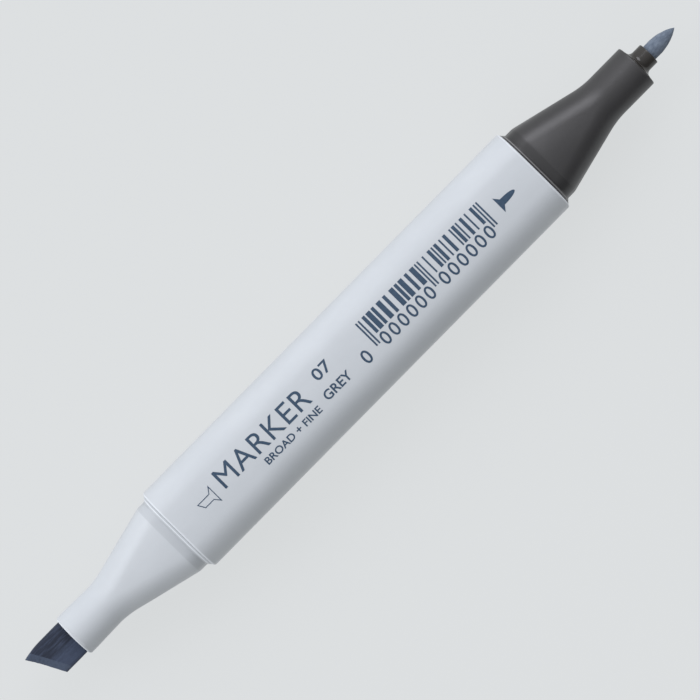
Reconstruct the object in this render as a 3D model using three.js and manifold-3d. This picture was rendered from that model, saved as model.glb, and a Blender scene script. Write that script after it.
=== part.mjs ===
// Double-ended felt tip marker: a square barrel, a tapered neck at each end, a bullet nib in one neck,
// a chisel nib in the other, and a wrapped fibre core between them that feeds ink to both.
// Millimetres. +X runs along the marker from the chisel end to the bullet end, +Z is up, and the origin
// is in the middle of the barrel's underside, the face that the marker lies on.
import * as THREE from "three";
import { mergeVertices } from "three/addons/utils/BufferGeometryUtils.js";
import Module from "manifold-3d";

const wasm = await Module();
wasm.setup();

// ---- Driving dimensions ----

const BARREL = { length: 74, half: 7.5, corner: 4.4, wall: 1.2, edge: 0.4 };
const BARREL_RIB = { width: 1, length: 54, topRadius: 5.1 };

// A neck, measured along its own axis from the barrel's end face, outwards.
const NECK = {
  plugDepth: 9,
  plugHalf: 6.1,
  plugLead: 0.4,
  flangeHalf: 7.1,
  flangeEdge: 0.15,
  flangeEnd: 0.7,
  landHalf: 6.46,
  landFlat: 3.26,
  landEnd: 2,
  slope: 0.247,
  crease: 0.6,
  spigotHalf: 3.6,
  throat: 1.7,
};
const NECK_BORE = { plug: 5.15, shoulder: 4.6, shoulderAt: 0.8, coneStart: 2 };
const SEAT_GAP = 0.06;

const FINE_NECK = { mouth: 21.55, edge: 0.25, boreEnd: 12.5, bore: 2.6, wallStart: 20.4, hole: 2.4 };
const BROAD_NECK = { mouth: 22, edge: 0.4, boreEnd: 11, bore: 3.2, waist: 0.12 };

const HOLDER = {
  start: 9,
  sleeve: 2.3,
  foot: 2.7,
  footEdge: 0.12,
  collar: 1.82,
  fillet: 0.85,
  end: 24.1,
  lip: 0.15,
  bore: 1.42,
};

const FINE_NIB = { radius: 1.31, tail: -5, tailTaper: 1, ogiveStart: 25.25, tip: 29.45, tipPower: 0.95 };
const BROAD_NIB = {
  width: 6.1,
  thickness: 3.2,
  corner: 0.7,
  tail: -5,
  shortSide: 26.35,
  longSide: 27.05,
  tip: 29.76,
  tipInset: 0.5,
  bevel: 0.9,
};
const NIB_CLEARANCE = 0.1;

const CORE = { radius: 4.8, end: 0.7 };
const FILM = { gap: 0.05, thickness: 0.15, end: 0.7 };
const TAIL_CLEARANCE = 0.3;

// ---- How finely round shapes are cut ----

const CORNER_STEPS = 9;
const ROUND_STEPS = 36;
const BLEND_STEPS = 6;
const LEAST_FLAT = 0.1;

// ---- Solids ----

function toSolid(geometry) {
  const bare = geometry.clone();
  bare.deleteAttribute("normal");
  bare.deleteAttribute("uv");
  const merged = mergeVertices(bare, 1e-3);
  return new wasm.Manifold(
    new wasm.Mesh({
      numProp: 3,
      vertProperties: new Float32Array(merged.attributes.position.array),
      triVerts: new Uint32Array(merged.index.array),
    }),
  );
}

function toGeometry(solid) {
  const mesh = solid.getMesh();
  const geometry = new THREE.BufferGeometry();
  geometry.setAttribute("position", new THREE.BufferAttribute(mesh.vertProperties, 3));
  geometry.setIndex(new THREE.BufferAttribute(mesh.triVerts, 1));
  geometry.computeVertexNormals();
  return geometry;
}

// A rectangle in the Y-Z plane with rounded corners. It has the same number of points whatever its size,
// so that one ring of it can be skinned to the next.
function roundedRectangle(halfY, halfZ, corner) {
  const points = [];
  for (const [signY, signZ, start] of [[1, 1, 0], [-1, 1, 1], [-1, -1, 2], [1, -1, 3]]) {
    const from = (start * Math.PI) / 2;
    const centre = [signY * (halfY - corner), signZ * (halfZ - corner)];
    const arc = new THREE.EllipseCurve(...centre, corner, corner, from, from + Math.PI / 2);
    points.push(...arc.getPoints(CORNER_STEPS));
  }
  return points;
}

// A square ring. flat is how far each side stays straight from its middle, so flat 0 would be a circle.
function squareRing(x, half, flat) {
  return { x, points: roundedRectangle(half, half, half - Math.max(flat, LEAST_FLAT)) };
}

// Joins rings of equal point count, in order of x, into one closed skin.
function skin(rings) {
  const positions = [];
  const index = [];
  const count = rings[0].points.length;
  for (const ring of rings) {
    for (const point of ring.points) positions.push(ring.x, point.x, point.y);
  }
  const last = rings.length - 1;
  const startCentre = positions.push(rings[0].x, 0, 0) / 3 - 1;
  const endCentre = positions.push(rings[last].x, 0, 0) / 3 - 1;
  for (let j = 0; j < count; j++) {
    const next = (j + 1) % count;
    index.push(startCentre, next, j);
    index.push(endCentre, last * count + j, last * count + next);
    for (let i = 0; i < last; i++) {
      const near = i * count;
      const far = near + count;
      index.push(near + j, near + next, far + next);
      index.push(near + j, far + next, far + j);
    }
  }
  const geometry = new THREE.BufferGeometry();
  geometry.setAttribute("position", new THREE.Float32BufferAttribute(positions, 3));
  geometry.setIndex(index);
  return geometry;
}

// Turns a profile of [x, radius] pairs round the X axis. It starts and ends on the axis.
function turned(profile) {
  const points = profile.map(([x, radius]) => new THREE.Vector2(radius, x));
  const geometry = new THREE.LatheGeometry(points, ROUND_STEPS);
  geometry.rotateZ(-Math.PI / 2);
  return geometry;
}

// A straight bar along X with a rounded rectangular section.
function bar(start, end, halfY, halfZ, corner) {
  const points = roundedRectangle(halfY, halfZ, corner);
  return skin([{ x: start, points }, { x: end, points }]);
}

// [offset, share] pairs down a quarter round, from its start to its end, both 0 to 1.
function quarterRound(steps) {
  const pairs = [];
  for (let i = 0; i <= steps; i++) {
    const angle = (i / steps) * (Math.PI / 2);
    pairs.push([Math.sin(angle), 1 - Math.cos(angle)]);
  }
  return pairs;
}

// ---- Barrel ----

function barrelGeometry() {
  const end = BARREL.length / 2;
  const flat = BARREL.half - BARREL.corner;
  const rim = quarterRound(3).map(([along, inset]) => ({
    x: end - BARREL.edge + along * BARREL.edge,
    half: BARREL.half - inset * BARREL.edge,
  }));
  const outer = [
    ...rim.map((r) => squareRing(-r.x, r.half, flat)).reverse(),
    ...rim.map((r) => squareRing(r.x, r.half, flat)),
  ];
  const boreHalf = BARREL.half - BARREL.wall;
  const bore = [squareRing(-end - 1, boreHalf, flat), squareRing(end + 1, boreHalf, flat)];
  let solid = toSolid(skin(outer)).subtract(toSolid(skin(bore)));

  const sunk = BARREL.wall / 2;
  const height = boreHalf + sunk - BARREL_RIB.topRadius;
  for (let side = 0; side < 4; side++) {
    const rib = new THREE.BoxGeometry(BARREL_RIB.length, BARREL_RIB.width, height);
    rib.translate(0, 0, BARREL_RIB.topRadius + height / 2);
    rib.rotateX((side * Math.PI) / 2);
    solid = solid.add(toSolid(rib));
  }
  return toGeometry(solid);
}

// ---- Necks ----

const TAPER_LENGTH = (NECK.landHalf - NECK.spigotHalf) / NECK.slope;
const SPIGOT_START = NECK.landEnd + TAPER_LENGTH;

// Half width across a neck between its land and its spigot, with the two bends rounded off.
function taperHalf(x) {
  if (x > SPIGOT_START - NECK.throat) {
    const left = Math.max(SPIGOT_START + NECK.throat - x, 0);
    return NECK.spigotHalf + (NECK.slope * left * left) / (4 * NECK.throat);
  }
  if (x < NECK.landEnd + NECK.crease) {
    const past = Math.max(x - NECK.landEnd + NECK.crease, 0);
    return NECK.landHalf - (NECK.slope * past * past) / (4 * NECK.crease);
  }
  return NECK.landHalf - NECK.slope * (x - NECK.landEnd);
}

// The four flats of a neck narrow in step with it, to nothing where the spigot is round.
function taperFlat(x) {
  return (NECK.landFlat * (taperHalf(x) - NECK.spigotHalf)) / (NECK.landHalf - NECK.spigotHalf);
}

function taperStations() {
  const stations = [];
  const spans = [
    [NECK.landEnd - NECK.crease, NECK.landEnd + NECK.crease, 4],
    [NECK.landEnd + NECK.crease, SPIGOT_START - NECK.throat, 7],
    [SPIGOT_START - NECK.throat, SPIGOT_START + NECK.throat, BLEND_STEPS],
  ];
  for (const [from, to, steps] of spans) {
    for (let i = 0; i < steps; i++) stations.push(from + ((to - from) * i) / steps);
  }
  stations.push(SPIGOT_START + NECK.throat);
  return stations;
}

// Outside of a neck: the plug inside the barrel, the flange on its end face, the land that a cap would
// grip, the taper and the round spigot. waist is how much the spigot narrows where it starts.
function neckOutside({ mouth, edge, waist = 0 }) {
  const plugFlat = BARREL.half - BARREL.corner;
  const spigotEnd = mouth - edge;
  const fullEnd = SPIGOT_START + NECK.throat;
  const waistAt = (x) => {
    const nearTaper = Math.max(Math.min((x - NECK.landEnd) / (fullEnd - NECK.landEnd), 1), 0) ** 4;
    const nearMouth = Math.max((x - fullEnd) / (spigotEnd - fullEnd), 0);
    return waist * nearTaper * (1 - nearMouth);
  };
  return toSolid(
    skin([
      squareRing(-NECK.plugDepth, NECK.plugHalf - NECK.plugLead, plugFlat),
      squareRing(-NECK.plugDepth + NECK.plugLead, NECK.plugHalf, plugFlat),
      squareRing(SEAT_GAP, NECK.plugHalf, plugFlat),
      squareRing(SEAT_GAP + 0.001, NECK.flangeHalf, plugFlat),
      squareRing(SEAT_GAP + NECK.flangeEdge, NECK.flangeHalf, plugFlat),
      squareRing(NECK.flangeEnd, NECK.landHalf, NECK.landFlat),
      ...taperStations().map((x) => squareRing(x, taperHalf(x) - waistAt(x), taperFlat(x))),
      ...quarterRound(3).map(([along, inset]) =>
        squareRing(spigotEnd + along * edge, NECK.spigotHalf - inset * edge, 0),
      ),
    ]),
  );
}

// The reservoir's seat in the plug, and the cone that narrows from it to the spigot's bore.
function seatAndCone(boreEnd, bore) {
  return [
    [-NECK.plugDepth - 1, 0],
    [-NECK.plugDepth - 1, NECK_BORE.plug],
    [NECK_BORE.shoulderAt, NECK_BORE.plug],
    [NECK_BORE.shoulderAt, NECK_BORE.shoulder],
    [NECK_BORE.coneStart, NECK_BORE.shoulder],
    [boreEnd, bore],
  ];
}

function fineNeckGeometry() {
  const { mouth, boreEnd, bore, wallStart, hole } = FINE_NECK;
  const inside = turned([
    ...seatAndCone(boreEnd, bore),
    [wallStart, bore],
    [wallStart, hole],
    [mouth + 1, hole],
    [mouth + 1, 0],
  ]);
  return toGeometry(neckOutside(FINE_NECK).subtract(toSolid(inside)));
}

function broadNeckGeometry() {
  const { mouth, boreEnd, bore } = BROAD_NECK;
  const inside = turned([...seatAndCone(boreEnd, bore), [boreEnd, 0]]);
  const slot = bar(
    boreEnd / 2,
    mouth + 1,
    BROAD_NIB.width / 2 + NIB_CLEARANCE,
    BROAD_NIB.thickness / 2 + NIB_CLEARANCE,
    BROAD_NIB.corner + NIB_CLEARANCE,
  );
  return toGeometry(neckOutside(BROAD_NECK).subtract(toSolid(inside)).subtract(toSolid(slot)));
}

// ---- Holder that grips the bullet nib: a foot on the neck's end face, a collar in front, a sleeve behind ----

function fineNibHolderGeometry() {
  const seat = FINE_NECK.mouth + SEAT_GAP;
  const filletEnd = seat + HOLDER.footEdge + HOLDER.fillet;
  const trumpet = quarterRound(5).map(([along, inset]) => [
    filletEnd - (1 - inset) * HOLDER.fillet,
    HOLDER.collar + (1 - along) * HOLDER.fillet,
  ]);
  const outside = turned([
    [HOLDER.start, 0],
    [HOLDER.start, HOLDER.sleeve],
    [seat, HOLDER.sleeve],
    [seat, HOLDER.foot],
    ...trumpet,
    [HOLDER.end - HOLDER.lip, HOLDER.collar],
    [HOLDER.end, HOLDER.collar - HOLDER.lip],
    [HOLDER.end, 0],
  ]);
  const bore = turned([
    [HOLDER.start - 1, 0],
    [HOLDER.start - 1, HOLDER.bore],
    [HOLDER.end + 1, HOLDER.bore],
    [HOLDER.end + 1, 0],
  ]);
  return toGeometry(toSolid(outside).subtract(toSolid(bore)));
}

// ---- Nibs ----

function fineNibGeometry() {
  const { radius, tail, tailTaper, ogiveStart, tip, tipPower } = FINE_NIB;
  const steps = 12;
  const profile = [
    [tail, 0],
    [tail, radius * 0.6],
    [tail + tailTaper, radius],
  ];
  for (let i = 0; i < steps; i++) {
    const share = i / steps;
    profile.push([ogiveStart + share * (tip - ogiveStart), radius * (1 - share ** 2) ** tipPower]);
  }
  profile.push([tip, 0]);
  return turned(profile);
}

// A flat felt bar cut off at a slant, with the slanted end bevelled on both faces. The neck is turned
// half round, so the long side is at -Y here and at +Y on the marker.
function broadNibGeometry() {
  const { width, thickness, corner, tail, shortSide, longSide, tip, tipInset, bevel } = BROAD_NIB;
  const felt = bar(tail, tip + 1, width / 2, thickness / 2, corner);
  const outline = new THREE.Shape();
  outline.moveTo(tail + bevel, width);
  outline.lineTo(tail + bevel, -width);
  outline.lineTo(longSide - bevel, -width);
  outline.lineTo(longSide - bevel, -width / 2 + bevel);
  outline.lineTo(tip - bevel * 1.6, -width / 2 + tipInset + bevel * 0.6);
  outline.lineTo(shortSide - bevel * 1.15, width / 2);
  outline.lineTo(shortSide - bevel * 1.15, width);
  const cutter = new THREE.ExtrudeGeometry(outline, {
    depth: thickness - 2 * bevel,
    bevelEnabled: true,
    bevelThickness: bevel,
    bevelSize: bevel,
    bevelSegments: 1,
  });
  cutter.translate(0, 0, bevel - thickness / 2);
  return toGeometry(toSolid(felt).intersect(toSolid(cutter)));
}

// ---- Reservoir ----

function coreGeometry() {
  const end = BARREL.length / 2 + CORE.end;
  const plain = turned([[-end, 0], [-end, CORE.radius], [end, CORE.radius], [end, 0]]);
  const fineTail = BARREL.length / 2 + FINE_NIB.tail - TAIL_CLEARANCE;
  const fineRadius = FINE_NIB.radius + NIB_CLEARANCE;
  const fineHole = turned([[fineTail, 0], [fineTail, fineRadius], [end + 1, fineRadius], [end + 1, 0]]);
  const broadHole = bar(
    -end - 1,
    -BARREL.length / 2 - BROAD_NIB.tail + TAIL_CLEARANCE,
    BROAD_NIB.width / 2 + NIB_CLEARANCE,
    BROAD_NIB.thickness / 2 + NIB_CLEARANCE,
    BROAD_NIB.corner + NIB_CLEARANCE,
  );
  return toGeometry(toSolid(plain).subtract(toSolid(fineHole)).subtract(toSolid(broadHole)));
}

function filmGeometry() {
  const end = BARREL.length / 2 + FILM.end;
  const inner = CORE.radius + FILM.gap;
  const outer = inner + FILM.thickness;
  const sleeve = turned([[-end, 0], [-end, outer], [end, outer], [end, 0]]);
  const hollow = turned([[-end - 1, 0], [-end - 1, inner], [end + 1, inner], [end + 1, 0]]);
  return toGeometry(toSolid(sleeve).subtract(toSolid(hollow)));
}

// ---- Materials ----

const palePlastic = new THREE.MeshStandardMaterial({ color: 0xdadde6, roughness: 0.38, metalness: 0 });
const darkPlastic = new THREE.MeshStandardMaterial({ color: 0x3f3d3e, roughness: 0.36, metalness: 0 });
const holderPlastic = new THREE.MeshStandardMaterial({ color: 0x37332f, roughness: 0.28, metalness: 0 });
const lightFelt = new THREE.MeshStandardMaterial({ color: 0x74819a, roughness: 0.9, metalness: 0 });
const darkFelt = new THREE.MeshStandardMaterial({ color: 0x363f54, roughness: 0.92, metalness: 0 });
const inkedFibre = new THREE.MeshStandardMaterial({ color: 0x8f9cb0, roughness: 0.95, metalness: 0 });
const clearFilm = new THREE.MeshStandardMaterial({ color: 0xdfe6ea, roughness: 0.2, metalness: 0 });

// ---- Assembly ----

function part(name, geometry, material) {
  const mesh = new THREE.Mesh(geometry, material);
  mesh.name = name;
  return mesh;
}

const fineEnd = new THREE.Group();
fineEnd.position.x = BARREL.length / 2;
fineEnd.add(
  part("fine_neck", fineNeckGeometry(), darkPlastic),
  part("fine_nib_holder", fineNibHolderGeometry(), holderPlastic),
  part("fine_nib", fineNibGeometry(), lightFelt),
);

const broadEnd = new THREE.Group();
broadEnd.position.x = -BARREL.length / 2;
broadEnd.rotation.z = Math.PI;
broadEnd.add(
  part("broad_neck", broadNeckGeometry(), palePlastic),
  part("broad_nib", broadNibGeometry(), darkFelt),
);

const marker = new THREE.Group();
marker.position.z = BARREL.half;
marker.add(
  part("barrel", barrelGeometry(), palePlastic),
  part("reservoir_core", coreGeometry(), inkedFibre),
  part("reservoir_film", filmGeometry(), clearFilm),
  fineEnd,
  broadEnd,
);

export default marker;
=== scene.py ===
"""The looks of a double-ended felt tip marker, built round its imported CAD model.

The frame is the model's own: +X runs along the marker towards the bullet nib, +Y across it, +Z up, and the
origin is in the middle of the barrel's underside. Shapes are worked out in millimetres and become metres
in new_piece(). A neck's own distances start at the barrel's end face and run outwards. The stage, the lights
and the camera are in metres.
"""

import math

import bmesh
import bpy
from mathutils import Matrix, Vector, noise


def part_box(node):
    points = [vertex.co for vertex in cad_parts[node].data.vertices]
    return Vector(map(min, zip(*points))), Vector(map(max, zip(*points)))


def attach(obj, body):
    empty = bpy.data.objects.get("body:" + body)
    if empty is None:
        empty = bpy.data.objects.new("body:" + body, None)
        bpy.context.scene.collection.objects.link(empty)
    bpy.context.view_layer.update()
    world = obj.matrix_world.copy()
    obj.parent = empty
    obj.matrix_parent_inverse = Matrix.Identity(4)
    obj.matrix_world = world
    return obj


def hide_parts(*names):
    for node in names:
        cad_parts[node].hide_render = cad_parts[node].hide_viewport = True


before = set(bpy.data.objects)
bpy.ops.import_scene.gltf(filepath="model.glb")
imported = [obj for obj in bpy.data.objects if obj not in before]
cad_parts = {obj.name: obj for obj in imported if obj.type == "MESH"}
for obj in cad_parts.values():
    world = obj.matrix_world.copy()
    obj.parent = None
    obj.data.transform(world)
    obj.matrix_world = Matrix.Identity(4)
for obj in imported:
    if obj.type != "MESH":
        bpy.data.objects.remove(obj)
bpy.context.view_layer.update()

MM = 0.001
BODY = "marker_body"

# ---- Places read from the CAD, in millimetres ----


def box_mm(node):
    low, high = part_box(node)
    return low / MM, high / MM


barrel_low, barrel_high = box_mm("barrel")
AXIS_Z = (barrel_low.z + barrel_high.z) / 2
BARREL_END = barrel_high.x
FINE_MOUTH = box_mm("fine_neck")[1].x - BARREL_END
BROAD_MOUTH = -box_mm("broad_neck")[0].x - BARREL_END
PLUG_END = BARREL_END - box_mm("fine_neck")[0].x
holder_low, holder_high = box_mm("fine_nib_holder")
fine_low, fine_high = box_mm("fine_nib")
broad_low, broad_high = box_mm("broad_nib")

# ---- Sizes in millimetres ----

INK = 0.02
BARREL_HALF = barrel_high.y - INK
BARREL_FLAT = 3.1
BARREL_BOW = 28
BARREL_EDGE = 0.35
BARREL_BORE = 6.3

SEAT_GAP = 0.01
PLUG_HALF = 6.1
FLANGE_HALF = 7.1
FLANGE_FLAT = 3.1
FLANGE_ROUND = 0.06
FLANGE_WIDTH = 0.14
FLANGE_LEAN = 0.04
LIP_HALF = 6.84
LIP_START = 0.27
LIP_ROUND = 0.14
FLANGE_END = 0.56
LAND_HALF = 6.5
LAND_FLAT = 3.26
LAND_END = 2.05
LAND_FILLET = 0.12
SLOPE = 0.247
CREASE = 0.35
SPIGOT_HALF = 3.6
THROAT = 1.7
NECK_BOW = 20
BROAD_WAIST = 0.12
WAIST_LENGTH = 5
NIB_HOLE_DEPTH = 9
NIB_GAP = 0.08
NECK_BORE = 4.6
NECK_BORE_END = 2
PLUG_BORE = 5.15

POINTS = 160
ROUND_STEPS = 8
BAND_BLUR = 0.06


# ---- Materials ----


def srgb(red, green, blue):
    """A colour given as 0-255 screen values, as linear RGBA."""
    linear = [((v / 255 + 0.055) / 1.055) ** 2.4 for v in (red, green, blue)]
    return (*linear, 1)


class Shader:
    """A new material with one Principled shader, and short calls for adding nodes to it."""

    def __init__(self, name):
        self.material = bpy.data.materials.new(name)
        self.material.use_nodes = True
        self.tree = self.material.node_tree
        self.surface = self.tree.nodes["Principled BSDF"]
        self.place = self.tree.nodes.new("ShaderNodeTexCoord").outputs["Object"]

    def set(self, **values):
        for name, value in values.items():
            self.surface.inputs[name.replace("_", " ")].default_value = value

    def link(self, output, name):
        self.tree.links.new(output, self.surface.inputs[name])

    def stretched(self, scale):
        """Object coordinates times scale, so that a pattern can run along one axis."""
        node = self.tree.nodes.new("ShaderNodeMapping")
        node.inputs["Scale"].default_value = scale
        self.tree.links.new(self.place, node.inputs["Vector"])
        return node.outputs["Vector"]

    def noise(self, scale, detail=3, roughness=0.55, distortion=0):
        """Noise whose scale is in features per millimetre along each axis."""
        node = self.tree.nodes.new("ShaderNodeTexNoise")
        node.inputs["Scale"].default_value = 1
        node.inputs["Detail"].default_value = detail
        node.inputs["Roughness"].default_value = roughness
        node.inputs["Distortion"].default_value = distortion
        self.tree.links.new(self.stretched([s / MM for s in scale]), node.inputs["Vector"])
        return node.outputs["Fac"]

    def ramp(self, value, *stops):
        """A colour ramp over (position, colour) stops."""
        node = self.tree.nodes.new("ShaderNodeValToRGB")
        elements = node.color_ramp.elements
        while len(elements) < len(stops):
            elements.new(0.5)
        for element, (position, colour) in zip(elements, stops):
            element.position = position
            element.color = colour
        self.tree.links.new(value, node.inputs["Fac"])
        return node.outputs["Color"]

    def spread(self, value, low, high):
        """value, from 0 to 1, mapped to low to high."""
        node = self.tree.nodes.new("ShaderNodeMapRange")
        node.inputs["To Min"].default_value = low
        node.inputs["To Max"].default_value = high
        self.tree.links.new(value, node.inputs["Value"])
        return node.outputs["Result"]

    def mix(self, kind, factor, first, second):
        """Two colour sockets mixed, where factor is a number."""
        node = self.tree.nodes.new("ShaderNodeMix")
        node.data_type = "RGBA"
        node.blend_type = kind
        node.inputs["Factor"].default_value = factor
        self.tree.links.new(first, node.inputs[6])
        self.tree.links.new(second, node.inputs[7])
        return node.outputs[2]

    def over(self, under, colour, mask):
        """colour laid over another where mask is 1."""
        node = self.tree.nodes.new("ShaderNodeMix")
        node.data_type = "RGBA"
        self.tree.links.new(mask, node.inputs["Factor"])
        self.tree.links.new(under, node.inputs[6])
        node.inputs[7].default_value = colour
        return node.outputs[2]

    def window(self, value, low, high, most=1):
        """0 where value is under low, most where it is over high, smooth between. high may be the lower."""
        node = self.tree.nodes.new("ShaderNodeMapRange")
        node.interpolation_type = "SMOOTHSTEP"
        node.inputs["From Min"].default_value = low
        node.inputs["From Max"].default_value = high
        node.inputs["To Max"].default_value = most
        self.tree.links.new(value, node.inputs["Value"])
        return node.outputs["Result"]

    def part(self, vector, axis):
        """The X, Y or Z part of a vector."""
        split = self.tree.nodes.new("ShaderNodeSeparateXYZ")
        self.tree.links.new(vector, split.inputs["Vector"])
        return split.outputs[axis]

    def size_of(self, value):
        node = self.tree.nodes.new("ShaderNodeMath")
        node.operation = "ABSOLUTE"
        self.tree.links.new(value, node.inputs[0])
        return node.outputs["Value"]

    def facing_along(self, low, high, most=1):
        """most on faces that look along the marker, 0 on faces that look across it."""
        normal = self.place.node.outputs["Normal"]
        return self.window(self.size_of(self.part(normal, "X")), low, high, most)

    def product(self, first, second):
        node = self.tree.nodes.new("ShaderNodeMath")
        node.operation = "MULTIPLY"
        self.tree.links.new(first, node.inputs[0])
        self.tree.links.new(second, node.inputs[1])
        return node.outputs["Value"]

    def bump(self, height, distance, strength=1, under=None):
        """Bump of distance millimetres, laid over another bump if one is given."""
        node = self.tree.nodes.new("ShaderNodeBump")
        node.inputs["Distance"].default_value = distance * MM
        node.inputs["Strength"].default_value = strength
        self.tree.links.new(height, node.inputs["Height"])
        if under is not None:
            self.tree.links.new(under, node.inputs["Normal"])
        return node.outputs["Normal"]


def moulded_plastic(name, dark, light, roughness, painted_bands=(), ior=1.49):
    """Moulded plastic: cloudy colour, patchy gloss and the faint orange peel of a mould.

    Each band is a ring of another colour, a (start, end, colour) measured from the marker's middle; the
    bands here are painted highlights and painted shade.
    """
    shader = Shader(name)
    clouds = shader.noise((0.12, 0.3, 0.3), detail=4)
    colour = shader.ramp(clouds, (0.3, dark), (0.7, light))
    reach = shader.size_of(shader.part(shader.place, "X"))
    # Lays each band over the plastic's colour: painted highlights and painted shade.
    for start, end, painted_tint in painted_bands:
        past_start = shader.window(reach, (start - BAND_BLUR) * MM, (start + BAND_BLUR) * MM)
        before_end = shader.window(reach, (end + BAND_BLUR) * MM, (end - BAND_BLUR) * MM)
        colour = shader.over(colour, painted_tint, shader.product(past_start, before_end))
    shader.link(colour, "Base Color")
    patches = shader.noise((0.35, 0.8, 0.8), detail=5)
    shader.link(shader.spread(patches, roughness[0], roughness[1]), "Roughness")
    peel = shader.noise((2.2, 2.2, 2.2), detail=2)
    scuffs = shader.noise((0.8, 9, 9), detail=3)
    normal = shader.bump(peel, 0.004)
    shader.link(shader.bump(scuffs, 0.0015, under=normal), "Normal")
    shader.set(IOR=ior)
    return shader.material


def felt(name, dark, middle, light, grain=(0.4, 4.5, 4.5), painted_fill_light=None, cut=None):
    """Inked felt: fibres that run along X, dark and light, with a matt fuzzy surface.

    grain is the fibres' pattern, in features per millimetre. The -Y half, on the side away from the lamps,
    takes
    some of a lighter colour: painted light that lifts its shade. Faces that look along the marker take
    another colour.
    """
    shader = Shader(name)
    fibres = shader.noise(grain, detail=6, roughness=0.62, distortion=0.4)
    mottle = shader.noise((1.6, 3.2, 3.2), detail=4)
    streaks = shader.ramp(fibres, (0.3, dark), (0.5, middle), (0.72, light))
    blotches = shader.ramp(mottle, (0.25, (0.78, 0.78, 0.8, 1)), (0.75, (1.12, 1.12, 1.1, 1)))
    # Painted light: the -Y half, away from the lamps, is laid over with a lighter colour that lifts its
    # shade.
    if painted_fill_light:
        painted_fill_mask = shader.window(shader.part(shader.place, "Y"), 0.3 * MM, -0.9 * MM, most=0.65)
        streaks = shader.over(streaks, painted_fill_light, painted_fill_mask)
    # Faces that look along the marker, the slanted end and its bevels, are laid over with a lighter colour.
    if cut:
        streaks = shader.over(streaks, cut, shader.facing_along(0.2, 0.6, most=0.8))
    shader.link(shader.mix("MULTIPLY", 0.7, streaks, blotches), "Base Color")
    fuzz = shader.noise((6, 14, 14), detail=4)
    normal = shader.bump(fibres, 0.05)
    shader.link(shader.bump(fuzz, 0.02, under=normal), "Normal")
    shader.set(Roughness=0.92, Sheen_Weight=0.08, Sheen_Roughness=0.6)
    return shader.material


def printed_ink():
    """Printing ink, a little uneven in cover."""
    shader = Shader("printed_ink")
    cover = shader.noise((2.5, 2.5, 2.5), detail=4)
    colour = shader.ramp(cover, (0.3, srgb(47, 67, 87)), (0.7, srgb(56, 75, 96)))
    shader.link(colour, "Base Color")
    shader.link(shader.spread(cover, 0.38, 0.52), "Roughness")
    shader.set(Specular_IOR_Level=0.3)
    return shader.material


def wrap_film():
    """The clear crinkled film round the reservoir."""
    shader = Shader("wrap_film")
    crinkle = shader.noise((0.5, 1.5, 1.5), detail=4)
    colour = shader.ramp(crinkle, (0.3, srgb(205, 214, 220)), (0.7, srgb(228, 234, 238)))
    shader.link(colour, "Base Color")
    shader.link(shader.bump(crinkle, 0.08), "Normal")
    shader.set(Roughness=0.2, Alpha=0.45)
    return shader.material


def floor_paper():
    """The plain pale surface the marker lies on. It glows, as a light table does, to thin shadows."""
    shader = Shader("floor_paper")
    shader.set(Base_Color=srgb(74, 75, 76), Roughness=0.9, Specular_IOR_Level=0.1)
    shader.set(Emission_Color=srgb(251, 254, 255), Emission_Strength=0.665)
    return shader.material


PALE = srgb(184, 188, 192), srgb(188, 192, 196)
# Painted highlight: a lighter colour on the barrel's rounded end edges and round the broad neck's mouth.
PALE_EDGE_HIGHLIGHT = srgb(210, 214, 219)
# The necks' land, from the flange to the taper, carries painted shade: a darker colour in the recess there.
LAND_SHADE_SPAN = BARREL_END + FLANGE_END, BARREL_END + LAND_END
# The flange's lip, which carries a painted highlight: a light line along its rounded edge.
LIP_HIGHLIGHT_SPAN = BARREL_END + LIP_START, BARREL_END + LIP_START + LIP_ROUND

PALE_PLASTIC = moulded_plastic(
    "pale_plastic",
    *PALE,
    roughness=(0.34, 0.46),
    # Painted highlight on the barrel's rounded end edges.
    painted_bands=[(BARREL_END - 0.25, BARREL_END + 1, PALE_EDGE_HIGHLIGHT)],
)
NECK_PLASTIC = moulded_plastic(
    "neck_plastic",
    *PALE,
    roughness=(0.34, 0.46),
    painted_bands=[
        # Painted shade on the land.
        (*LAND_SHADE_SPAN, srgb(176, 180, 184)),
        # Painted highlight on the lip.
        (*LIP_HIGHLIGHT_SPAN, srgb(222, 226, 231)),
        # Painted highlight round the rim of the broad neck's mouth.
        (BARREL_END + BROAD_MOUTH - 0.2, BARREL_END + BROAD_MOUTH + 1, PALE_EDGE_HIGHLIGHT),
    ],
)
DARK_PLASTIC = moulded_plastic(
    "dark_plastic",
    srgb(40, 39, 40),
    srgb(46, 45, 46),
    roughness=(0.36, 0.46),
    ior=1.57,
    # Painted highlight on the lip, a light line on the dark plastic.
    # Painted shade on the land, darker than the rest of the dark neck.
    painted_bands=[(*LAND_SHADE_SPAN, srgb(34, 33, 34)), (*LIP_HIGHLIGHT_SPAN, srgb(128, 127, 127))],
)
HOLDER_PLASTIC = moulded_plastic(
    "holder_plastic", srgb(42, 39, 36), srgb(49, 46, 43), roughness=(0.14, 0.24)
)
BROAD_FELT = felt(
    "broad_felt",
    srgb(19, 26, 42),
    srgb(32, 40, 57),
    srgb(56, 66, 87),
    # Painted light on the nib's -Y half.
    painted_fill_light=srgb(60, 71, 93),
    # A lighter colour on faces that look along the marker.
    cut=srgb(70, 82, 103),
)
FINE_FELT = felt(
    "fine_felt", srgb(80, 91, 106), srgb(98, 109, 124), srgb(112, 122, 136), grain=(1.1, 3, 3)
)
CORE_FIBRE = felt("core_fibre", srgb(120, 132, 152), srgb(146, 157, 174), srgb(170, 180, 194))
PRINT_INK = printed_ink()


# ---- Rings and skins ----


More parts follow.
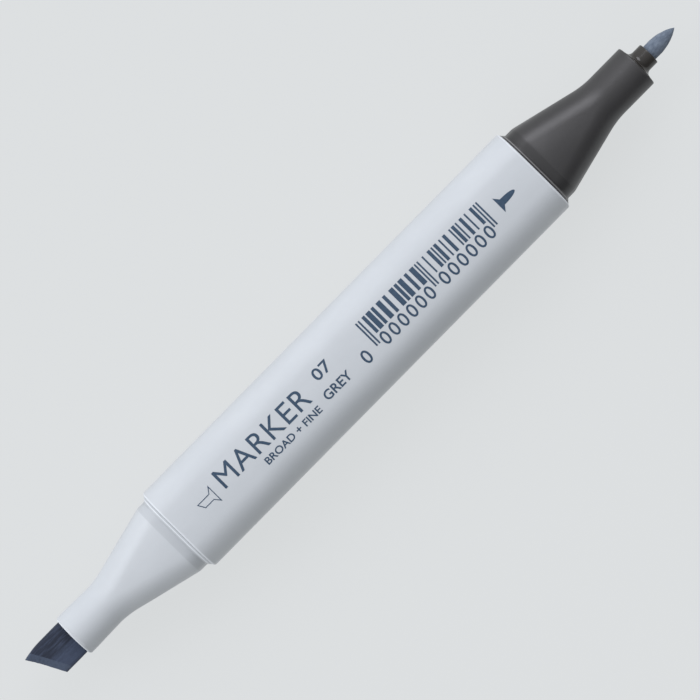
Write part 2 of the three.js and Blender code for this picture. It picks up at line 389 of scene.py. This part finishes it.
def section_radius(angle, half, flat, bow):
    """How far a bowed rounded square reaches in the direction angle.

    Each side is an arc of radius bow that runs flat to either side of its middle, and the corner arcs meet
    the sides smoothly. A flat of 0 gives a circle of radius half.
    """
    quarter = math.pi / 2
    turn = abs((angle + quarter / 2) % quarter - quarter / 2)
    lean = math.asin(flat / bow)
    corner = bow - (bow - half) / (math.cos(lean) - math.sin(lean))
    centre = (bow - corner) * math.sin(lean)
    meeting = math.atan2(flat, half - bow + bow * math.cos(lean))
    if turn < meeting:
        back = half - bow
        return back * math.cos(turn) + math.sqrt(bow**2 - (back * math.sin(turn)) ** 2)
    along = centre * (math.cos(turn) + math.sin(turn))
    return along + math.sqrt(corner**2 - 2 * centre**2 + along**2)


def angles(count=POINTS):
    return [2 * math.pi * i / count for i in range(count)]


def square_ring(x, half, flat, bow=NECK_BOW):
    ring = []
    for angle in angles():
        radius = section_radius(angle, half, flat, bow)
        ring.append(Vector((x, radius * math.cos(angle), radius * math.sin(angle))))
    return ring


def oblong_ring(x, half_y, half_z, power=10):
    """A rounded oblong: a superellipse, squarer the higher its power."""
    ring = []
    for angle in angles():
        cos, sin = math.cos(angle), math.sin(angle)
        reach = (abs(cos / half_y) ** power + abs(sin / half_z) ** power) ** (-1 / power)
        ring.append(Vector((x, reach * cos, reach * sin)))
    return ring


def quarter_round(steps=ROUND_STEPS):
    """(along, inset) pairs down a quarter round, from its start to its end, both 0 to 1."""
    turns = [math.pi / 2 * i / steps for i in range(steps + 1)]
    return [(math.sin(turn), 1 - math.cos(turn)) for turn in turns]


def skin(rings, loop):
    """A bmesh over rings of equal point count: a loop joins last to first, otherwise the ends are closed."""
    mesh = bmesh.new()
    rows = [[mesh.verts.new(point) for point in ring] for ring in rings]
    pairs = list(zip(rows, rows[1:]))
    if loop:
        pairs.append((rows[-1], rows[0]))
    for near, far in pairs:
        for i in range(len(near)):
            mesh.faces.new((near[i - 1], near[i], far[i], far[i - 1]))
    if not loop:
        mesh.faces.new(rows[0])
        mesh.faces.new(rows[-1])
    return mesh


def new_piece(name, mesh, material, body, node=None, sharp_deg=35):
    """Makes a bmesh, whose middle line is the marker's axis, into a smooth piece that rides on body."""
    mesh.transform(Matrix.Translation((0, 0, AXIS_Z)))
    mesh.transform(Matrix.Scale(MM, 4))
    bmesh.ops.recalc_face_normals(mesh, faces=mesh.faces)
    data = bpy.data.meshes.new(name)
    mesh.to_mesh(data)
    mesh.free()
    data.shade_smooth()
    data.set_sharp_from_angle(angle=math.radians(sharp_deg))
    data.materials.append(material)
    piece = bpy.data.objects.new(name, data)
    bpy.context.scene.collection.objects.link(piece)
    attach(piece, body)
    if node:
        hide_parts(node)
    return piece


AT_FINE_END = Matrix.Translation((BARREL_END, 0, 0))
AT_BROAD_END = Matrix.Translation((-BARREL_END, 0, 0)) @ Matrix.Rotation(math.pi, 4, "Z")


def placed(mesh, matrix):
    mesh.transform(matrix)
    return mesh


# ---- Barrel ----


def barrel():
    outline = []
    for along, inset in quarter_round():
        x = BARREL_END - BARREL_EDGE * (1 - along)
        outline.append((x, BARREL_HALF - BARREL_EDGE * inset))
    outside = [square_ring(x, half, BARREL_FLAT, BARREL_BOW) for x, half in outline]
    left = [square_ring(-x, half, BARREL_FLAT, BARREL_BOW) for x, half in reversed(outline)]
    bore = [square_ring(x, BARREL_BORE, BARREL_FLAT, BARREL_BOW) for x in (BARREL_END, -BARREL_END)]
    mesh = skin([*left, *outside, *bore], loop=True)
    new_piece("barrel_shell", mesh, PALE_PLASTIC, BODY, "barrel")


# ---- Necks ----

TAPER_END = LAND_END + (LAND_HALF - SPIGOT_HALF) / SLOPE


def taper_half(x):
    """Half width of a neck beyond its land, with the two bends rounded off."""
    if x > TAPER_END - THROAT:
        left = max(TAPER_END + THROAT - x, 0)
        return SPIGOT_HALF + SLOPE * left**2 / (4 * THROAT)
    if x < LAND_END + CREASE:
        past = max(x - LAND_END + CREASE, 0)
        return LAND_HALF - SLOPE * past**2 / (4 * CREASE)
    return LAND_HALF - SLOPE * (x - LAND_END)


def taper_flat(x):
    """The four facets narrow in step with the neck, to nothing where the spigot is round."""
    return LAND_FLAT * (taper_half(x) - SPIGOT_HALF) / (LAND_HALF - SPIGOT_HALF)


def flange_rings():
    """From the neck's seat on the barrel, over the flange and the lip in front of it, to the land."""
    outline = [(SEAT_GAP, PLUG_HALF)]
    for along, inset in reversed(quarter_round(4)):
        outline.append((SEAT_GAP + FLANGE_ROUND * (1 - along), FLANGE_HALF - FLANGE_ROUND * inset))
    outline.append((FLANGE_WIDTH, FLANGE_HALF - FLANGE_LEAN))
    for along, inset in quarter_round(6):
        outline.append((LIP_START + LIP_ROUND * along, LIP_HALF - LIP_ROUND * inset))
    for along, inset in reversed(quarter_round(5)):
        outline.append((FLANGE_END + LAND_FILLET * (1 - along), LAND_HALF + LAND_FILLET * inset))
    return [square_ring(x, half, FLANGE_FLAT) for x, half in outline]


def taper_rings(mouth, waist):
    """From the land to just behind the mouth. waist is how much the spigot narrows where it starts."""
    rings = []
    full = TAPER_END + THROAT
    past_fillet = 0.2
    start = FLANGE_END + LAND_FILLET + past_fillet
    count = 90
    for i in range(count + 1):
        x = start + (mouth - start) * i / count
        near_taper = max(min((x - LAND_END) / (full - LAND_END), 1), 0) ** 4
        near_mouth = min(max((x - full) / WAIST_LENGTH, 0), 1)
        half = taper_half(x) - waist * near_taper * (1 - near_mouth)
        rings.append(square_ring(x, half, taper_flat(x)))
    return rings


def rounded_mouth(outer, inner, edge):
    """Rings round a mouth's lip, from the outer ring to the hole's ring, both at the mouth.

    The lip is a quarter round of radius edge, or as much of one as the wall has room for.
    """
    rings = []
    for along, inset in quarter_round():
        ring = []
        for out, hole in zip(outer, inner):
            wall = out - hole
            radius = min(edge, wall.length * 0.9)
            point = out - wall.normalized() * (radius * inset)
            point.x = out.x - radius * (1 - along)
            ring.append(point)
        rings.append(ring)
    return rings


def neck(mouth, edge, waist, hole_ring, bore):
    """A hollow neck: plug, flange, land, taper and spigot outside, the nib's hole and a wide bore inside."""
    plug = [square_ring(-PLUG_END, PLUG_HALF, FLANGE_FLAT)]
    outer = square_ring(mouth, SPIGOT_HALF, 0)
    hole = hole_ring(mouth)
    inside = [
        hole_ring(mouth - NIB_HOLE_DEPTH),
        square_ring(mouth - NIB_HOLE_DEPTH, bore, 0),
        square_ring(NECK_BORE_END, NECK_BORE, 0),
        square_ring(-PLUG_END, PLUG_BORE, 0),
    ]
    rings = [
        *plug,
        *flange_rings(),
        *taper_rings(mouth - edge, waist),
        *rounded_mouth(outer, hole, edge),
        hole,
        *inside,
    ]
    return skin(rings, loop=True)


def broad_neck():
    half_y = (broad_high.y - broad_low.y) / 2 + NIB_GAP
    half_z = (broad_high.z - broad_low.z) / 2 + NIB_GAP
    mesh = neck(BROAD_MOUTH, 0.38, BROAD_WAIST, lambda x: oblong_ring(x, half_y, half_z), bore=3.25)
    new_piece(
        "broad_neck_shell", placed(mesh, AT_BROAD_END), NECK_PLASTIC, BODY, "broad_neck"
    )


def fine_neck():
    mesh = neck(FINE_MOUTH, 0.22, 0, lambda x: square_ring(x, 2.4, 0), bore=2.6)
    new_piece(
        "fine_neck_shell", placed(mesh, AT_FINE_END), DARK_PLASTIC, BODY, "fine_neck"
    )


# ---- Bullet nib and its holder ----


def turned(profile, loop):
    """A bmesh turned round the axis from (x, radius) pairs."""
    return skin([square_ring(x, radius, 0) for x, radius in profile], loop)


def fine_nib_holder():
    start = holder_low.x - BARREL_END
    end = holder_high.x - BARREL_END
    foot = (holder_high.y - holder_low.y) / 2
    foot_thickness = 0.12
    foot_land = 0.04
    foot_chamfer = 0.03
    chamfer_length = 0.04
    seat = FINE_MOUTH + SEAT_GAP
    sleeve = 2.3
    collar = 1.81
    fillet = foot - collar - foot_land
    lip = 0.14
    bore = 1.4
    bore_chamfer = 0.06
    trumpet = []
    for along, inset in quarter_round(14):
        trumpet.append((seat + foot_thickness + fillet * inset, collar + fillet * (1 - along)))
    lip_round = [(end - lip * (1 - along), collar - lip * inset) for along, inset in quarter_round()]
    profile = [
        (start, sleeve),
        (seat, sleeve),
        (seat, foot - foot_chamfer),
        (seat + chamfer_length, foot),
        *trumpet,
        *lip_round,
        (end, bore + bore_chamfer),
        (end - bore_chamfer, bore),
        (start, bore),
    ]
    mesh = placed(turned(profile, loop=True), AT_FINE_END)
    new_piece("fine_holder_shell", mesh, HOLDER_PLASTIC, BODY, "fine_nib_holder")


def fibre_wobble(mesh, along, across, depth):
    """Moves points along their normals by noise that is long in X, as bundled fibres are."""
    mesh.normal_update()
    moves = []
    for vertex in mesh.verts:
        place = Vector((vertex.co.x * along, vertex.co.y * across, vertex.co.z * across))
        moves.append(vertex.normal * (noise.noise(place) * depth))
    for vertex, move in zip(mesh.verts, moves):
        vertex.co += move


def fine_nib():
    radius = (fine_high.y - fine_low.y) / 2 - 0.02
    tail = fine_low.x - BARREL_END
    tip = fine_high.x - BARREL_END - 0.03
    ogive = tip - 4.2
    profile = [(tail, radius * 0.6), (tail + 1, radius)]
    straight = 24
    for i in range(1, straight):
        profile.append((tail + 1 + (ogive - tail - 1) * i / straight, radius))
    steps = 44
    for i in range(steps):
        share = math.sin(math.pi / 2 * i / steps)
        profile.append((ogive + share * (tip - ogive), radius * (1 - share**2) ** 0.93))
    mesh = turned(profile, loop=False)
    fibre_wobble(mesh, along=0.8, across=4, depth=0.03)
    new_piece("fine_nib_felt", placed(mesh, AT_FINE_END), FINE_FELT, "fine_nib", "fine_nib")


# ---- Chisel nib ----


def broad_nib():
    """A flat felt bar whose end is cut at a slant and bevelled on both faces.

    Here the long side is at -Y, and the half turn at the broad end brings it to +Y.
    """
    half_y = (broad_high.y - broad_low.y) / 2 - 0.02
    half_z = (broad_high.z - broad_low.z) / 2 - 0.02
    tail = -BARREL_END - broad_high.x
    reach = -BARREL_END - broad_low.x - 0.03
    slant = 0.515
    straight_end = 23
    bevel_length = 1.2
    bevel_lead = 0.1
    edge_half = 0.72
    edge_round = 0.06
    edge_thinning = 0.1
    tail_chamfer = 0.25
    curve_start = reach - 3.6
    curve_depth = 0.42

    def slanted(back, width, thickness):
        """A ring that follows the slanted end, back from it along X."""
        ring = oblong_ring(0, width, thickness)
        for point in ring:
            point.x = reach - slant * (point.y + half_y) - back
        return ring

    rings = [
        oblong_ring(tail, half_y - tail_chamfer, half_z - tail_chamfer),
        oblong_ring(tail + tail_chamfer, half_y, half_z),
    ]
    plain = 30
    for i in range(1, plain + 1):
        x = tail + tail_chamfer + (straight_end - tail - tail_chamfer) * i / plain
        rings.append(oblong_ring(x, half_y, half_z))
    first = slanted(bevel_length + bevel_lead, half_y, half_z)
    spacing = 10
    for i in range(1, spacing):
        share = i / spacing
        rings.append([a.lerp(b, share) for a, b in zip(rings[plain + 1], first)])
    rings.append(first)
    steps = 12
    for i in range(steps + 1):
        share = i / steps
        thickness = half_z + (edge_half - half_z) * share
        rings.append(slanted(bevel_length * (1 - share) + edge_round, half_y, thickness))
    for along, inset in quarter_round(4):
        back = edge_round * (1 - along)
        rings.append(slanted(back, half_y - edge_round * inset, edge_half - edge_thinning * inset))
    mesh = skin(rings, loop=False)
    for vertex in mesh.verts:
        past = max(vertex.co.x - curve_start, 0) / (reach - curve_start)
        if vertex.co.y < 0:
            vertex.co.y *= 1 - curve_depth * past**2 / half_y
    fibre_wobble(mesh, along=0.5, across=3.5, depth=0.035)
    mesh = placed(mesh, AT_BROAD_END)
    new_piece("broad_nib_felt", mesh, BROAD_FELT, "broad_nib", "broad_nib")


# ---- Printing on the top face ----


def lay_on_top(name, mesh):
    """Bends a flat bmesh, drawn in X and Y, over the barrel's bowed top and thickens it to closed ink."""
    strip = 0.25
    count = int(BARREL_FLAT / strip)
    for i in range(-count, count + 1):
        parts = [*mesh.verts, *mesh.edges, *mesh.faces]
        bmesh.ops.bisect_plane(mesh, geom=parts, plane_co=(0, i * strip, 0), plane_no=(0, 1, 0))
    sunk = INK
    for vertex in mesh.verts:
        bowed = BARREL_HALF - BARREL_BOW + math.sqrt(BARREL_BOW**2 - vertex.co.y**2)
        vertex.co.z = bowed - sunk
    faces = list(mesh.faces)
    lifted = bmesh.ops.extrude_face_region(mesh, geom=faces, use_keep_orig=True)["geom"]
    tops = [item for item in lifted if isinstance(item, bmesh.types.BMVert)]
    bmesh.ops.translate(mesh, verts=tops, vec=(0, 0, sunk + INK * 0.95))
    return new_piece(name, mesh, PRINT_INK, BODY)


def fitted(mesh, left, right, bottom, top):
    """Scales and moves a flat bmesh to fill a rectangle."""
    xs = [v.co.x for v in mesh.verts]
    ys = [v.co.y for v in mesh.verts]
    wide = (right - left) / (max(xs) - min(xs))
    tall = (top - bottom) / (max(ys) - min(ys))
    for vertex in mesh.verts:
        vertex.co.x = left + (vertex.co.x - min(xs)) * wide
        vertex.co.y = bottom + (vertex.co.y - min(ys)) * tall
    return mesh


def words(body, rectangle, weight=0, spacing=1):
    """Lettering in the built-in font, fitted to a rectangle of left, right, bottom, top."""
    curve = bpy.data.curves.new("lettering", "FONT")
    curve.body = body
    curve.offset = weight
    curve.space_character = spacing
    curve.resolution_u = 6
    text = bpy.data.objects.new("lettering", curve)
    bpy.context.scene.collection.objects.link(text)
    shape = text.evaluated_get(bpy.context.evaluated_depsgraph_get())
    flat = bpy.data.meshes.new_from_object(shape)
    mesh = bmesh.new()
    mesh.from_mesh(flat)
    bpy.data.objects.remove(text)
    bpy.data.curves.remove(curve)
    bpy.data.meshes.remove(flat)
    bmesh.ops.remove_doubles(mesh, verts=mesh.verts, dist=1e-5)
    return fitted(mesh, *rectangle)


def outline_shape(points):
    mesh = bmesh.new()
    mesh.faces.new([mesh.verts.new((x, y, 0)) for x, y in points])
    return mesh


def bars(rectangles):
    mesh = bmesh.new()
    for left, right, bottom, top in rectangles:
        corners = ((left, bottom), (right, bottom), (right, top), (left, top))
        mesh.faces.new([mesh.verts.new((x, y, 0)) for x, y in corners])
    return mesh


def stroked(points, width):
    """A closed line of the given width round a polygon, mitred at its corners."""
    mesh = bmesh.new()
    loops = [[], []]
    for i, here in enumerate(points):
        before = (Vector(here) - Vector(points[i - 1])).normalized()
        after = (Vector(points[(i + 1) % len(points)]) - Vector(here)).normalized()
        mitre = Vector((-before.y - after.y, before.x + after.x))
        mitre *= width / mitre.length_squared
        loops[0].append(mesh.verts.new((*(Vector(here) + mitre), 0)))
        loops[1].append(mesh.verts.new((*(Vector(here) - mitre), 0)))
    inner, outer = loops
    for i in range(len(points)):
        mesh.faces.new((outer[i - 1], outer[i], inner[i], inner[i - 1]))
    return mesh


def chisel_pictogram():
    """A chisel nib in outline, pointing at the chisel end."""
    points = ((-32.25, 0.5), (-31.65, -0.55), (-29.95, -0.55), (-29.27, -1.4), (-29.27, 1.4), (-29.95, 0.5))
    lay_on_top("print_chisel_sign", stroked(points, 0.13))


def bullet_pictogram():
    """A filled bullet nib, pointing at the bullet end."""
    base, root, nose, half = 29.52, 30.22, 32.72, 0.52
    points = [(base, -1.4), (root, -half)]
    steps = 16
    for i in range(2 * steps + 1):
        turn = -math.pi / 2 + math.pi / 2 * i / steps
        points.append((root + 0.3 + (nose - root - 0.3) * math.cos(turn), half * math.sin(turn)))
    points += [(root, half), (base, 1.4)]
    mesh = outline_shape(points)
    bmesh.ops.triangulate(mesh, faces=list(mesh.faces))
    lay_on_top("print_bullet_sign", mesh)


def barcode():
    """A block of bars in a barcode's place. Their widths follow a rule of their own and encode nothing."""
    left, right, bottom, top, guard_bottom = 2.5, 27.55, -0.4, 2.74, -1.76
    module = (right - left) / 95
    guards = (0, 2, 46, 48, 92, 94)
    rectangles = [(left + g * module, left + (g + 1) * module, guard_bottom, top) for g in guards]
    for start, end in ((5, 44), (52, 90)):
        place = start
        step = 0
        while place < end:
            width = 1 + (step * step + start) % 4 % 3
            rectangles.append((left + place * module, left + (place + width) * module, bottom, top))
            place += width + 1 + (step * 3 + start) % 5 % 3
            step += 1
    lay_on_top("print_bars", bars(rectangles))


def printing():
    chisel_pictogram()
    lay_on_top("print_word", words("MARKER", (-27.65, -9.65, -0.73, 2.4), spacing=1.06))
    lay_on_top("print_small_line", words("BROAD + FINE", (-20.77, -9.65, -2.78, -1.62), weight=0.018))
    lay_on_top("print_number", words("07", (-7.2, -4.15, 0.65, 2.5), weight=0.012))
    lay_on_top("print_colour_word", words("GREY", (-8.1, -3.0, -2.4, -0.9), weight=0.018))
    barcode()
    lay_on_top("print_digit_first", words("0", (-0.3, 1.05, -2.83, -0.7), weight=0.008))
    lay_on_top("print_digits_left", words("000000", (3.65, 14.13, -2.83, -0.7), weight=0.008, spacing=1.25))
    lay_on_top("print_digits_right", words("000000", (15.85, 26.5, -2.83, -0.7), weight=0.008, spacing=1.25))
    bullet_pictogram()


# ---- Stage ----


def stage():
    """The floor, five metres square."""
    mesh = bmesh.new()
    reach = 2.5
    corners = ((-reach, -reach), (reach, -reach), (reach, reach), (-reach, reach))
    mesh.faces.new([mesh.verts.new((x, y, 0)) for x, y in corners])
    data = bpy.data.meshes.new("floor")
    mesh.to_mesh(data)
    mesh.free()
    data.materials.append(floor_paper())
    floor = bpy.data.objects.new("floor", data)
    bpy.context.scene.collection.objects.link(floor)


def aimed(item, target):
    item.rotation_euler = (Vector(target) - item.location).to_track_quat("-Z", "Y").to_euler()


def area_light(name, place, size, power, colour):
    data = bpy.data.lights.new(name, "AREA")
    data.shape = "RECTANGLE"
    data.size, data.size_y = size
    data.energy = power
    data.color = colour
    light = bpy.data.objects.new(name, data)
    light.location = place
    bpy.context.scene.collection.objects.link(light)
    aimed(light, (0, 0, 0))


def lights():
    """A soft box above each end, both on the +Y side, in a room that is brighter on that side."""
    world = bpy.data.worlds.new("studio")
    world.use_nodes = True
    nodes, links = world.node_tree.nodes, world.node_tree.links
    towards = nodes.new("ShaderNodeVectorMath")
    towards.operation = "DOT_PRODUCT"
    towards.inputs[1].default_value = (-0.38, 0.8, 0.46)
    strength = nodes.new("ShaderNodeMapRange")
    strength.inputs["From Min"].default_value = -0.5
    strength.inputs["From Max"].default_value = 1
    strength.inputs["To Min"].default_value = 0.2
    strength.inputs["To Max"].default_value = 1.12
    background = nodes["Background"]
    background.inputs["Color"].default_value = (0.96, 0.98, 1, 1)
    links.new(nodes.new("ShaderNodeTexCoord").outputs["Generated"], towards.inputs[0])
    links.new(towards.outputs["Value"], strength.inputs["Value"])
    links.new(strength.outputs["Result"], background.inputs["Strength"])
    bpy.context.scene.world = world
    area_light("key", (1.12, 1.04, 1.29), (1.3, 1.3), 19, (0.94, 0.94, 1))
    area_light("second", (-1.2, 0.95, 1.15), (1.3, 1.3), 13, (0.94, 0.94, 1))


def camera():
    """Straight above the marker, with the marker lying from lower left to upper right of the frame."""
    turn = math.radians(-45.37)
    height = 0.85
    frame_width = 0.1026
    data = bpy.data.cameras.new("camera")
    data.sensor_width = 36
    data.lens = data.sensor_width * height / frame_width
    view = bpy.data.objects.new("camera", data)
    view.location = (-0.00063, 0.00064, AXIS_Z * MM + height)
    view.rotation_euler = (0, 0, turn)
    bpy.context.scene.collection.objects.link(view)
    bpy.context.scene.camera = view


def inner_parts():
    """The CAD's own reservoir stays, out of sight in the barrel, with fibre and film materials."""
    for node, material in (("reservoir_core", CORE_FIBRE), ("reservoir_film", wrap_film())):
        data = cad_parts[node].data
        data.materials.clear()
        data.materials.append(material)


camera()
lights()
stage()
barrel()
broad_neck()
fine_neck()
fine_nib_holder()
fine_nib()
broad_nib()
inner_parts()
printing()
bpy.context.scene.view_settings.view_transform = "Standard"
